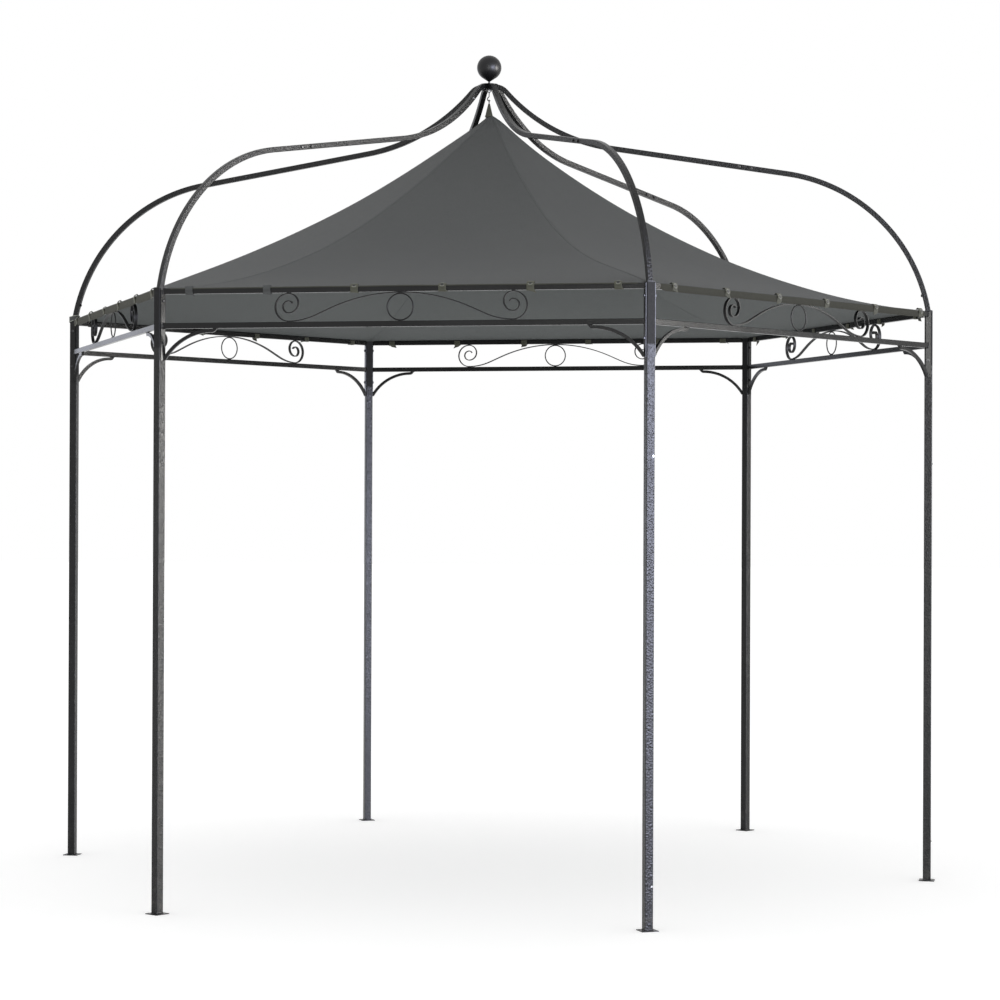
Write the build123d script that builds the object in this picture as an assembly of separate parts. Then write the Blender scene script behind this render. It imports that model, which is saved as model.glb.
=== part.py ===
from build123d import *
import os
from math import cos, radians, sin, sqrt, tan

os.makedirs("parts", exist_ok=True)

# A free-standing six-sided garden gazebo, millimetres, +Z up. The origin is on the ground in the
# middle, and the front side faces -Y. Post 1 is front left, and the numbers run anticlockwise.

# Plan and height
side_count = 6
corner_radius = 1750.0  # axis of the gazebo to the middle of a post
post_height = 2215.0  # ground to the rim of a post tube
first_side_angle = 270.0  # direction that side 1 faces

# Posts and feet
post_size = 30.0
tube_wall = 1.2
tube_corner = 2.0  # outside radius of every tube's long edges
foot_size = 60.0
foot_thickness = 3.0
foot_hole_radius = 3.5
foot_hole_offset = 22.0  # each way from the middle of the post

# Collars in the post tops
collar_flange = 2.0
collar_depth = 18.0
collar_wall = 1.2  # the least that the bent roof tube leaves of the collar
slide_fit = 0.3  # clearance each side between a tube and what slides in it

# Side frames
rail_height = 20.0
rail_depth = 15.0
rail_drop = 3.0  # post rim down to the top of the upper rail
rail_gap = 102.0  # clear height between the two rails
rail_offset = 2.0  # rails stand this far outside the line through the posts
plate_width = 20.0
plate_thickness = 3.0
plate_tail = 112.0  # how far the end plates hang below the lower rail
weld = 0.5  # how deep welded pieces run into each other

# Curved brackets under the lower rail
bracket_height = 12.0
bracket_depth = 10.0
bracket_radius = 205.0
bracket_turn = 65.0  # steepest angle of the curve, inside the end plate
bracket_reach = 195.0  # middle of the post to the level end of the curve
bracket_slit = 2.0  # between the level end and the rail above
bracket_lip_radius = 10.0
bracket_lip_angle = 50.0

# Scrollwork between the rails
scroll_depth = 12.0
scroll_thickness = 4.0
scroll_reach = 401.0  # middle of the side to the middle of an end spiral
scroll_slope = 24.0  # steepest slope of the bowed bar
scroll_arch_share = 0.72  # share of the bending that the middle arch takes
spiral_middle = 0.70  # radius of the second half turn, as a share of the first
spiral_inner = 0.43
spiral_tip = 0.28
spiral_tip_angle = 70.0
ring_wire = 5.0
seat_gap = 0.3  # between curved pieces and the flat that they stand on
wire_flats = 12  # round wire is drawn with this many flats

# Roof tubes, in an upright plane through the axis and a post
roof_tube = 20.0
roof_slope = 9.35  # of the straight stretch
arch_radius = 669.0
arch_end_angle = 80.0
entry_radius = 150.0
entry_depth = 60.0  # how far the outer arch goes down into the post
joint_radius = 1035.0  # axis of the gazebo to where the two roof tubes meet
spigot_length = 55.0
sweep_radius = 734.0  # hollow curve up to the crown
sweep_angle = 48.5
crown_bend = 57.0
crown_flat = 7.0

# Crown
hub_margin = 1.7  # the boss is this much larger than the circle where the arms would meet
hub_plate_radius = 36.0
hub_plate_thickness = 3.0
hub_rim = 1.8
hub_dome = 2.0  # how far the upper plate's middle stands above its thickness
stem_radius = 4.0
ball_radius = 49.0
ball_tip_gap = 8.0  # bare stem between the crown and the ball
ball_cone_angle = 33.0  # where the pointed underside leaves the ball, from straight down

# Hook and ring that carry the canopy
hook_wire = 4.0
hook_shank = 22.0
hook_radius = 7.0
hook_offset_angle = 60.0
hook_close_angle = 130.0  # how far the hook comes up again on its open side
ring_radius = 6.0
canopy_ring_wire = 3.0

# Canopy
canopy_thickness = 3.0
canopy_dip = 155.0  # below a straight line from eave to peak, at half way
canopy_lip = 3.0  # beyond the rail on both of its sides
cap_tip_radius = 2.5
cap_base_radius = 15.0
cap_height = 54.0
corner_clearance = 3.0  # canopy corner to the post
tab_pitch = 310.0
tabs_per_side = 6
tab_width = 27.0
tab_thickness = 1.5

# Worked out from the above
half_turn = 180.0 / side_count
apothem = corner_radius * cos(radians(half_turn))
half_side = corner_radius * sin(radians(half_turn))
rail_line = apothem + rail_offset
rail_top = post_height - rail_drop
upper_rail = rail_top - rail_height / 2
lower_rail = upper_rail - rail_height - rail_gap
gap_bottom = lower_rail + rail_height / 2
hub_apothem = roof_tube / 2 / tan(radians(half_turn)) + hub_margin
far = 2 * corner_radius


def save(name, shape):
    export_step(shape, f"parts/{name}.step")


def side_angle(number):
    return first_side_angle + number * 2 * half_turn


def corner_angle(number):
    return side_angle(number) - half_turn


def turned(angle, shape):
    return Rot(0, 0, angle) * shape


def on_bend(centre, radius, angle):
    """A point of a bend, by the slope there. A negative radius bends the other way."""
    return (centre[0] + radius * sin(radians(angle)), centre[1] + radius * cos(radians(angle)))


def bend(centre, radius, start, end):
    points = [on_bend(centre, radius, angle) for angle in (start, (start + end) / 2, end)]
    return ThreePointArc(*[Plane.XZ.from_local_coords((u, v, 0)) for u, v in points])


def straight(start, end):
    return Line(*[Plane.XZ.from_local_coords((u, v, 0)) for u, v in (start, end)])


def swept(path, section):
    start = Plane(origin=path @ 0, x_dir=(0, 1, 0), z_dir=path % 0)
    return sweep(start * section, path=path)


def wire_section(thickness):
    return RegularPolygon(thickness / 2, wire_flats)


def rounded(width, height, inset=0):
    """The outline of a tube, drawn in on each side by this much."""
    return RectangleRounded(width - 2 * inset, height - 2 * inset, tube_corner - inset)


def square_tube(size):
    return rounded(size, size) - rounded(size, size, tube_wall)


# Each piece below is made once, in the upright plane of its post or facing +X, and then turned.


def post():
    length = post_height - foot_thickness
    return Pos(corner_radius, 0, foot_thickness) * extrude(square_tube(post_size), length)


def foot_plate():
    plate = Pos(0, 0, foot_thickness / 2) * Box(foot_size, foot_size, foot_thickness)
    for x in (-foot_hole_offset, foot_hole_offset):
        for y in (-foot_hole_offset, foot_hole_offset):
            plate -= Pos(x, y, foot_thickness / 2) * Cylinder(foot_hole_radius, 2 * foot_thickness)
    return Pos(corner_radius, 0, 0) * plate


def post_cap():
    """A collar that fills the post's bore around the bent foot of the outer arch."""
    flange = extrude(rounded(post_size, post_size), collar_flange)
    plug = extrude(rounded(post_size, post_size, tube_wall + slide_fit), -collar_depth)
    collar = Pos(corner_radius, 0, post_height) * (flange + plug)
    return collar - swept(Wire(arch_foot(roof_slope)), rounded(roof_tube, roof_tube, -slide_fit))


def at_corner(end):
    """The frame of the post at one end of a side that faces +X: local X is away from the axis."""
    return Pos(apothem, end * half_side, 0) * Rot(0, 0, end * half_turn)


def end_plate(end):
    top = rail_top
    bottom = lower_rail - rail_height / 2 - plate_tail
    away = post_size / 2 + plate_thickness / 2
    plate = Box(plate_width, plate_thickness, top - bottom)
    return at_corner(end) * Pos(0, -end * away, (top + bottom) / 2) * plate


def beyond_plate(end):
    """All the space on the post's side of an end plate's welded face."""
    reach = post_size / 2 + plate_thickness - weld
    block = Box(far / 4, far / 4, 3 * post_height)
    return at_corner(end) * Pos(0, end * (far / 8 - reach), 0) * block


def rail(height):
    section = rounded(rail_depth, rail_height) - rounded(rail_depth, rail_height, tube_wall)
    tube = extrude(Plane.XZ * section, amount=half_side, both=True)
    return Pos(rail_line, 0, height) * tube


def bracket(end):
    """A bar that curves from the post to the lower rail, where its lip turns up to the rail."""
    top = lower_rail - rail_height / 2
    level = top - bracket_slit - bracket_height / 2
    start = -bracket_reach
    curve_centre = (0, level - bracket_radius)
    lip_centre = (0, level + bracket_lip_radius)
    lip_end = on_bend(lip_centre, -bracket_lip_radius, -bracket_lip_angle)
    rise = top - lip_end[1] + bracket_height
    tip = (lip_end[0] + rise / tan(radians(bracket_lip_angle)), lip_end[1] + rise)
    path = Wire(
        [
            bend(curve_centre, bracket_radius, -bracket_turn, 0),
            bend(lip_centre, -bracket_lip_radius, 0, -bracket_lip_angle),
            straight(lip_end, tip),
        ]
    )
    bar = swept(path, Rectangle(bracket_depth, bracket_height))
    bar -= Pos(0, 0, top + weld + far / 2) * Box(far, far, far)
    bar -= Pos(0, 0, top - plate_tail - far / 2) * Box(far, far, far)
    turn = -90 if end > 0 else 90
    place = Pos(rail_line, end * (half_side + start), 0) * Rot(0, 0, turn)
    return place * bar


def side_frame():
    frame = rail(upper_rail) + rail(lower_rail) + bracket(1) + bracket(-1)
    frame -= beyond_plate(1)
    frame -= beyond_plate(-1)
    return frame + end_plate(1) + end_plate(-1)


def scroll_half(end):
    """Half of the bowed bar and the spiral at its end, from the middle of the side outwards."""
    low = gap_bottom + seat_gap + scroll_thickness / 2
    high = gap_bottom + rail_gap - seat_gap - scroll_thickness / 2
    slope = radians(scroll_slope)
    # The two bends and the straight between them fill the reach and the drop exactly.
    bends = (scroll_reach * sin(slope) - (high - low) * cos(slope)) / (1 - cos(slope))
    arch = bends * scroll_arch_share
    foot = bends - arch
    arch_centre = (0, high - arch)
    foot_centre = (scroll_reach, low + foot)
    edges = [
        bend(arch_centre, arch, 0, scroll_slope),
        straight(
            on_bend(arch_centre, arch, scroll_slope), on_bend(foot_centre, -foot, scroll_slope)
        ),
        bend(foot_centre, -foot, scroll_slope, 0),
    ]
    first = (high - low) / 2
    turns = [first, first * spiral_middle, first * spiral_inner]
    height = low
    up = 1
    for radius in turns:
        centre = (scroll_reach, height + up * radius)
        if up > 0:
            edges.append(bend(centre, -radius, 0, -180))
        else:
            edges.append(bend(centre, radius, 0, -180))
        height += up * 2 * radius
        up = -up
    tip = first * spiral_tip
    edges.append(bend((scroll_reach, height + up * tip), tip, 0, -spiral_tip_angle))
    bar = swept(Wire(edges), Rectangle(scroll_depth, scroll_thickness))
    return Pos(rail_line, 0, 0) * Rot(0, 0, 90 * end) * bar


def scroll_ring():
    top = gap_bottom + rail_gap - seat_gap - scroll_thickness + weld
    bottom = gap_bottom + seat_gap
    outer = (top - bottom) / 2
    section = Plane.XZ * Pos(outer - ring_wire / 2, 0) * wire_section(ring_wire)
    return Pos(rail_line, 0, (top + bottom) / 2) * Rot(0, 90, 0) * revolve(section, Axis.Z)


def scrollwork():
    return scroll_half(1) + scroll_half(-1) + scroll_ring()


# The roof tubes' centre line, from the post up to the crown. The bend at the foot starts as far
# down in the post as the room beside the tube lets it.

entry_play = post_size / 2 - tube_wall - 2 * slide_fit - collar_wall - roof_tube / 2
bend_start = post_height - sqrt(2 * entry_radius * max(entry_play, 0))
entry_centre = (corner_radius - entry_radius, bend_start)
arch_end = on_bend(entry_centre, entry_radius, arch_end_angle)
arch_centre = tuple(p - arch_radius * f(radians(arch_end_angle)) for p, f in zip(arch_end, (sin, cos)))
arch_start = on_bend(arch_centre, arch_radius, roof_slope)


def on_slope(radius):
    """The point of the roof tube's straight stretch at this distance from the axis."""
    return (radius, arch_start[1] + (arch_start[0] - radius) * tan(radians(roof_slope)))


crown_start = hub_apothem + seat_gap
crown_edge = crown_start + crown_flat
crown_end_radius = crown_edge + crown_bend * sin(radians(sweep_angle))
sweep_span = sweep_radius * (sin(radians(sweep_angle)) - sin(radians(roof_slope)))
sweep_start = on_slope(crown_end_radius + sweep_span)
sweep_centre = (
    sweep_start[0] + sweep_radius * sin(radians(roof_slope)),
    sweep_start[1] + sweep_radius * cos(radians(roof_slope)),
)
sweep_end = on_bend(sweep_centre, -sweep_radius, sweep_angle)
crown_height = sweep_end[1] + crown_bend * (1 - cos(radians(sweep_angle)))
crown_centre = (crown_edge, crown_height - crown_bend)


def arch_foot(start_angle):
    """The lower part of the outer arch's centre line, from this slope down into the post."""
    return [
        bend(arch_centre, arch_radius, start_angle, arch_end_angle),
        bend(entry_centre, entry_radius, arch_end_angle, 90),
        straight((corner_radius, bend_start), (corner_radius, post_height - entry_depth)),
    ]


def outer_arch():
    path = Wire([straight(on_slope(joint_radius), arch_start)] + arch_foot(roof_slope))
    return swept(path, square_tube(roof_tube))


def inner_arm():
    path = Wire(
        [
            straight((crown_start, crown_height), (crown_edge, crown_height)),
            bend(crown_centre, crown_bend, 0, sweep_angle),
            bend(sweep_centre, -sweep_radius, sweep_angle, roof_slope),
            straight(sweep_start, on_slope(joint_radius)),
        ]
    )
    tube = swept(path, square_tube(roof_tube))
    run = spigot_length * cos(radians(roof_slope))
    inset = on_slope(joint_radius - run)
    spigot_path = Wire([straight(inset, on_slope(joint_radius + run))])
    spigot_size = roof_tube - 2 * tube_wall
    seated = swept(
        Wire([straight(inset, on_slope(joint_radius))]), Rectangle(spigot_size + weld, spigot_size + weld)
    )
    free = swept(
        spigot_path,
        Rectangle(spigot_size - 2 * slide_fit, spigot_size - 2 * slide_fit)
        - Rectangle(spigot_size - 4 * tube_wall, spigot_size - 4 * tube_wall),
    )
    core = swept(spigot_path, Rectangle(spigot_size - 4 * tube_wall, spigot_size - 4 * tube_wall))
    return tube + (seated - core) + free


# Crown

tube_top = crown_height + roof_tube / 2
tube_bottom = crown_height - roof_tube / 2
hub_top = tube_top + hub_plate_thickness + hub_dome
hub_bottom = tube_bottom - hub_plate_thickness


def crown_hub():
    """A six-sided boss that the arms butt against, between a domed plate and a flat one."""
    circumradius = hub_apothem / cos(radians(half_turn))
    boss_section = RegularPolygon(circumradius, side_count, rotation=half_turn)
    boss = Pos(0, 0, tube_bottom) * extrude(boss_section, roof_tube)
    boss = turned(corner_angle(0), boss)
    lower_plate = Pos(0, 0, tube_bottom - hub_plate_thickness / 2) * Cylinder(
        crown_edge - seat_gap, hub_plate_thickness
    )
    rim = tube_top + hub_rim
    dome = Polyline((0, hub_top), (0, tube_top), (hub_plate_radius, tube_top), (hub_plate_radius, rim))
    crest = TangentArc((0, hub_top), (hub_plate_radius, rim), tangent=(1, 0))
    upper_plate = revolve(make_face(Plane.XZ * Curve([dome, crest])), Axis.Z)
    hole = Pos(0, 0, crown_height) * Cylinder(stem_radius + slide_fit, 4 * roof_tube)
    return boss + lower_plate + upper_plate - hole


def ball_finial():
    """A ball whose underside is drawn out to a point on a threaded stem."""
    angle = radians(ball_cone_angle)
    tip_drop = ball_radius / cos(angle) - stem_radius * tan(angle)
    centre = hub_top + ball_tip_gap + tip_drop
    tangent = (ball_radius * sin(angle), centre - ball_radius * cos(angle))
    stem_bottom = hub_bottom - 2 * stem_radius
    outline = Polyline(
        tangent,
        (stem_radius, hub_top + ball_tip_gap),
        (stem_radius, stem_bottom),
        (0, stem_bottom),
        (0, centre + ball_radius),
    )
    ball = ThreePointArc((0, centre + ball_radius), (ball_radius, centre), tangent)
    return revolve(make_face(Plane.XZ * Curve([outline, ball])), Axis.Z)


# Hook, ring and canopy, hung from the stem

stem_end = hub_bottom - 2 * stem_radius
shank_end = hub_bottom - hook_shank
hook_centre_height = shank_end - 2 * hook_radius * sin(radians(hook_offset_angle))
hook_low = hook_centre_height - hook_radius
ring_top = hook_low + hook_wire / 2 + canopy_ring_wire / 2 + seat_gap
ring_centre = ring_top - ring_radius
cap_top = ring_centre - ring_radius - canopy_ring_wire / 2 - seat_gap
cap_bottom = cap_top - cap_height


def canopy_hook():
    """A wire hook below the stem: it steps aside and comes back round under the axis."""
    side_step = (-hook_radius, shank_end)
    path = Wire(
        [
            straight((0, stem_end), (0, shank_end)),
            bend(side_step, hook_radius, 90, 90 + hook_offset_angle),
            bend(
                (0, hook_centre_height),
                -hook_radius,
                90 + hook_offset_angle,
                90 - hook_close_angle,
            ),
        ]
    )
    return swept(path, wire_section(hook_wire))


def canopy_ring():
    section = Plane.XZ * Pos(ring_radius, 0) * wire_section(canopy_ring_wire)
    return Pos(0, 0, ring_centre) * Rot(0, 90, 0) * revolve(section, Axis.Z)


def canopy_peak_cap():
    cone = Cone(cap_base_radius, cap_tip_radius, cap_height)
    return Pos(0, 0, (cap_top + cap_bottom) / 2) * cone


def canopy_panel():
    """One sewn panel, hollow from eave to peak, with a level lip that lies on the upper rail."""
    inner_edge = rail_line - rail_depth / 2 - canopy_lip
    outer_edge = rail_line + rail_depth / 2 + canopy_lip
    low = rail_top + seat_gap
    peak_edge = cap_base_radius + seat_gap
    peak_low = cap_bottom - canopy_thickness / 2
    middle = ((inner_edge + peak_edge) / 2, (low + peak_low) / 2 - canopy_dip)
    t = canopy_thickness
    under = ThreePointArc((inner_edge, low), middle, (peak_edge, peak_low))
    over = ThreePointArc((peak_edge, peak_low + t), (middle[0], middle[1] + t), (inner_edge, low + t))
    peak_line = Line((peak_edge, peak_low), (peak_edge, peak_low + t))
    lip = Polyline((inner_edge, low + t), (outer_edge, low + t), (outer_edge, low), (inner_edge, low))
    section = make_face(Plane.XZ * Curve([under, peak_line, over, lip]))
    panel = extrude(section, amount=corner_radius, both=True)
    reach = 2 * corner_radius
    wedge_width = reach * tan(radians(half_turn))
    wedge = extrude(make_face(Polyline((0, 0), (reach, -wedge_width), (reach, wedge_width), close=True)), far)
    panel &= wedge
    corner_edge = corner_radius - post_size / 2 - corner_clearance
    for end in (-1, 1):
        corner = Pos(corner_edge + far / 2, 0, far / 2) * Box(far, far, 2 * far)
        panel -= Rot(0, 0, end * half_turn) * corner
    return panel


def canopy_tabs():
    """Straps under the upper rail of the side that faces +X, up to the canopy's lip."""
    inside = Box(rail_depth + 2 * seat_gap, 2 * tab_width, rail_height + 2 * seat_gap)
    outside = Box(
        rail_depth + 2 * (seat_gap + tab_thickness),
        tab_width,
        rail_height + 2 * (seat_gap + tab_thickness),
    )
    strap = outside - inside
    strap -= Pos(0, 0, rail_height / 2 + far / 2) * Box(far, far, far)
    first = -tab_pitch * (tabs_per_side - 1) / 2
    straps = []
    for number in range(tabs_per_side):
        straps.append(Pos(rail_line, first + number * tab_pitch, upper_rail) * strap)
    return straps


def main():
    by_corner = {
        "post": post(),
        "outer_arch": outer_arch(),
        "inner_arm": inner_arm(),
    }
    by_side = {
        "side_frame": side_frame(),
        "scrollwork": scrollwork(),
        "canopy_panel": canopy_panel(),
    }
    for number in range(side_count):
        for name, shape in by_corner.items():
            save(f"{name}_{number + 1}", turned(corner_angle(number), shape))
        for name, shape in by_side.items():
            save(f"{name}_{number + 1}", turned(side_angle(number), shape))
    for name, shape in {"foot_plates": foot_plate(), "post_caps": post_cap()}.items():
        save(name, Compound([turned(corner_angle(number), shape) for number in range(side_count)]))
    straps = canopy_tabs()
    all_straps = [turned(side_angle(number), strap) for number in range(side_count) for strap in straps]
    save("canopy_tabs", Compound(all_straps))
    save("crown_hub", crown_hub())
    save("ball_finial", ball_finial())
    save("canopy_hook", canopy_hook())
    save("canopy_ring", canopy_ring())
    save("canopy_peak_cap", canopy_peak_cap())


main()
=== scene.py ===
import bpy
import random
from math import atan, cos, exp, pi, radians, sin, tan
from mathutils import Matrix, Vector


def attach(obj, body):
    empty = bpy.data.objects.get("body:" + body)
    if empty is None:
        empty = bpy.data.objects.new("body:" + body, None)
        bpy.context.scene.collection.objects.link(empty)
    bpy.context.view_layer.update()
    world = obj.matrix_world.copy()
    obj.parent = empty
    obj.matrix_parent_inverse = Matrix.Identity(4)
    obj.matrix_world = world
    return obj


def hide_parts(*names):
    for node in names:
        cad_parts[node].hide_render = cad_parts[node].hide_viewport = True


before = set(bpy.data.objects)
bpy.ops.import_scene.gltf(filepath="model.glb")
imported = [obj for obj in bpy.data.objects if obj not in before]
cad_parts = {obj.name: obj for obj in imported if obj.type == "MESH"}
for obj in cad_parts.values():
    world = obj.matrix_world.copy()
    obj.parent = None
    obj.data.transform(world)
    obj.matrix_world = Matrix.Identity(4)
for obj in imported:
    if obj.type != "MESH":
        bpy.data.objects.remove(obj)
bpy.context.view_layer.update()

scene = bpy.context.scene
scene.view_settings.view_transform = "Standard"
print("frame loaded:", len(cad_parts), "nodes")

# The gazebo's own sizes, in metres, as the frame has them. Hips and posts stand at 0, 60, 120 ...
# degrees, sides face 30, 90, 150 ... degrees, and the front side faces 270.
frameSizes = {
    "cornerRadius": 1.750,
    "postHalf": 0.015,
    "railLine": 1.51754,
    "railTop": 2.212,
    "railHeight": 0.020,
    "lowerRail": 2.080,
    "plateFace": 0.018,
    "halfSide": 0.875,
}
postAngles = [240, 300, 0, 60, 120, 180]
sideAngles = [270, 330, 30, 90, 150, 210]


def direction(angle):
    return Vector((cos(radians(angle)), sin(radians(angle)), 0))


def atSide(angle, out, along, height):
    # a point beside the side that faces this way: along runs to the left, seen from inside
    return direction(angle) * out + direction(angle + 90) * along + Vector((0, 0, height))


def atPost(angle, out, along, height):
    # a point at the post that stands at this angle, measured from the post's middle
    reach = frameSizes["cornerRadius"] + out
    return direction(angle) * reach + direction(angle + 90) * along + Vector((0, 0, height))


# One output of a node. Its operators add Math nodes, so that shader maths reads as plain sums.
class Wire:
    def __init__(self, graph, socket):
        self.graph = graph
        self.socket = socket

    def other(self, name):
        return Wire(self.graph, self.socket.node.outputs[name])

    def maths(self, operation, *values):
        return self.graph.node("ShaderNodeMath", {"operation": operation}, dict(enumerate(values)))

    def __add__(self, value):
        return self.maths("ADD", self, value)

    def __radd__(self, value):
        return self.maths("ADD", value, self)

    def __sub__(self, value):
        return self.maths("SUBTRACT", self, value)

    def __rsub__(self, value):
        return self.maths("SUBTRACT", value, self)

    def __mul__(self, value):
        return self.maths("MULTIPLY", self, value)

    def __rmul__(self, value):
        return self.maths("MULTIPLY", value, self)

    def sine(self):
        return self.maths("SINE", self)

    def fade(self, start, end):
        # 0 at start, 1 at end, smooth between
        settings = {"interpolation_type": "SMOOTHSTEP"}
        return self.graph.node("ShaderNodeMapRange", settings, {"Value": self, 1: start, 2: end})


class Graph:
    def __init__(self, tree):
        self.tree = tree

    def node(self, kind, settings=None, values=None, output=0):
        made = self.tree.nodes.new(kind)
        for name, value in (settings or {}).items():
            setattr(made, name, value)
        for name, value in (values or {}).items():
            for item in value if isinstance(value, list) else [value]:
                if isinstance(item, Wire):
                    self.tree.links.new(item.socket, made.inputs[name])
                else:
                    made.inputs[name].default_value = item
        return Wire(self, made.outputs[output]) if made.outputs else None

    def mix(self, factor, first, second):
        # counted from 0, a Mix node's colours are inputs 6 and 7 and its mixed colour is output 2
        return self.node("ShaderNodeMix", {"data_type": "RGBA"}, {0: factor, 6: first, 7: second}, 2)

    def noise(self, where, scale, detail=2.0, roughness=0.5):
        values = {"Vector": where, "Scale": scale, "Detail": detail, "Roughness": roughness}
        return self.node("ShaderNodeTexNoise", {}, values)

    def stretched(self, where, factors):
        return self.node("ShaderNodeVectorMath", {"operation": "MULTIPLY"}, {0: where, 1: factors})

    def bump(self, height, depth, strength=1.0, under=None):
        values = {"Height": height, "Distance": depth, "Strength": strength}
        if under:
            values["Normal"] = under
        return self.node("ShaderNodeBump", {}, values)

    def finish(self, values):
        shader = self.node("ShaderNodeBsdfPrincipled", {}, values)
        self.node("ShaderNodeOutputMaterial", {}, {"Surface": shader})


def newMaterial(name):
    material = bpy.data.materials.new(name)
    material.use_nodes = True
    material.node_tree.nodes.clear()
    graph = Graph(material.node_tree)
    return material, graph


def colour(red, green, blue):
    return (red, green, blue, 1.0)


# Camera, where the photographer stood
cameraSpec = {
    "place": (2.2271, -10.8071, 1.4312),
    "yaw": 0.1987,
    "pitch": 0.0039,
    "roll": 0.0039,
    "lens": 98.887,
    "sensor": 36.0,
    "farthest": 200.0,
}


def makeCamera(spec):
    yaw, pitch, roll = spec["yaw"], spec["pitch"], spec["roll"]
    forward = Vector((-sin(yaw) * cos(pitch), cos(yaw) * cos(pitch), sin(pitch)))
    right = Vector((cos(yaw), sin(yaw), 0))
    up = right.cross(forward)
    side = right * cos(roll) + up * sin(roll)
    top = up * cos(roll) - right * sin(roll)
    camera = bpy.data.objects.new("camera", bpy.data.cameras.new("camera"))
    camera.data.lens = spec["lens"]
    camera.data.sensor_width = spec["sensor"]
    camera.data.clip_end = spec["farthest"]
    turn = Matrix((side, top, -forward)).transposed().to_4x4()
    camera.matrix_world = Matrix.Translation(spec["place"]) @ turn
    scene.collection.objects.link(camera)
    scene.camera = camera


# Studio: a white surround, one weak key, and tall cards that only the gloss picks up. Azimuths and
# half widths are in degrees, seen from the gazebo's middle.
studio = {
    "surround": 0.98,
    "key": {"name": "keyBox", "place": (5.2, -4.6, 4.2), "aim": (0, 0, 1.6), "size": (2.4, 3.0), "power": 5},
    "cards": [
        {"name": "coolCard", "azimuth": 318, "halfWidth": 13, "radiance": 34.0, "tint": (0.75, 0.785, 1.0)},
        {"name": "warmCard", "azimuth": -2, "halfWidth": 9.5, "radiance": 38.0, "tint": (1.0, 0.98, 0.95)},
        {"name": "frontCard", "azimuth": 280, "halfWidth": 6, "radiance": 11.0, "tint": (1.0, 1.0, 0.97)},
        {"name": "backCard", "azimuth": 130, "halfWidth": 12, "radiance": 0.28, "tint": (0.35, 0.5, 1.0)},
    ],
    "cardDistance": 12.0,
    "cardHeights": (0.45, 4.8),
    "floor": {"radius": 60.0, "colour": 0.80, "glow": 0.34},
}


def seenStraight(graph):
    # 1 for what the camera, gloss and glass see, 0 for light that falls on the object
    ray = graph.node("ShaderNodeLightPath", output="Is Camera Ray")
    seen = ray.maths("MAXIMUM", ray, ray.other("Is Glossy Ray"))
    return seen.maths("MAXIMUM", seen, ray.other("Is Transmission Ray"))


def makeSurround(strength):
    world = bpy.data.worlds.new("surround")
    scene.world = world
    world.use_nodes = True
    world.node_tree.nodes.clear()
    graph = Graph(world.node_tree)
    strength = strength + (1 - strength) * seenStraight(graph)
    shade = graph.node("ShaderNodeBackground", {}, {"Color": colour(1, 1, 1), "Strength": strength})
    graph.node("ShaderNodeOutputWorld", {}, {"Surface": shade})


def makeBox(spec):
    lamp = bpy.data.lights.new(spec["name"], "AREA")
    lamp.shape = "RECTANGLE"
    lamp.size, lamp.size_y = spec["size"]
    lamp.energy = spec["power"]
    lamp.color = spec.get("tint", (1, 1, 1))
    holder = bpy.data.objects.new(spec["name"], lamp)
    holder.location = spec["place"]
    aim = Vector(spec["aim"]) - Vector(spec["place"])
    holder.rotation_euler = aim.to_track_quat("-Z", "Y").to_euler()
    holder.visible_camera = False
    scene.collection.objects.link(holder)
    return holder


def makeCard(spec):
    # stands on the floor far out, square to the gazebo's middle
    low, high = studio["cardHeights"]
    distance = studio["cardDistance"]
    middle = Vector((0, 0, (low + high) / 2))
    size = (2 * distance * tan(radians(spec["halfWidth"])), high - low)
    place = direction(spec["azimuth"]) * distance + middle
    power = spec["radiance"] * pi * size[0] * size[1]
    card = makeBox({**spec, "place": place, "aim": middle, "size": size, "power": power})
    card.visible_diffuse = False


def makeFloor(spec):
    radius = spec["radius"]
    mesh = bpy.data.meshes.new("floor")
    corners = [(-radius, -radius, 0), (radius, -radius, 0), (radius, radius, 0), (-radius, radius, 0)]
    mesh.from_pydata(corners, [], [(0, 1, 2, 3)])
    floor = bpy.data.objects.new("floor", mesh)
    scene.collection.objects.link(floor)
    material, graph = newMaterial("paleFloor")
    strength = seenStraight(graph) * spec["glow"]
    pale = graph.node("ShaderNodeBsdfDiffuse", {}, {"Color": colour(*[spec["colour"]] * 3)})
    glow = graph.node("ShaderNodeEmission", {}, {"Color": colour(1, 1, 1), "Strength": strength})
    both = graph.node("ShaderNodeAddShader", {}, {0: pale, 1: glow})
    graph.node("ShaderNodeOutputMaterial", {}, {"Surface": both})
    mesh.materials.append(material)


makeCamera(cameraSpec)
makeSurround(studio["surround"])
makeBox(studio["key"])
for cardSpec in studio["cards"]:
    makeCard(cardSpec)
makeFloor(studio["floor"])
print("camera and studio ready")


# Finishes

# what all the powder paints share: large soft patches, and dust from the ground up to a height
paintWear = {
    "patches": 3.0,
    "patchGloss": 0.16,
    "peelGloss": 0.25,
    "flatFade": 0.008,
    "flatHammer": 0.8,
    "dust": colour(0.10, 0.095, 0.085),
    "dustHeight": 0.22,
    "dustGrain": 40.0,
    "dustMost": 0.35,
    "dustGloss": 0.3,
}


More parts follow.
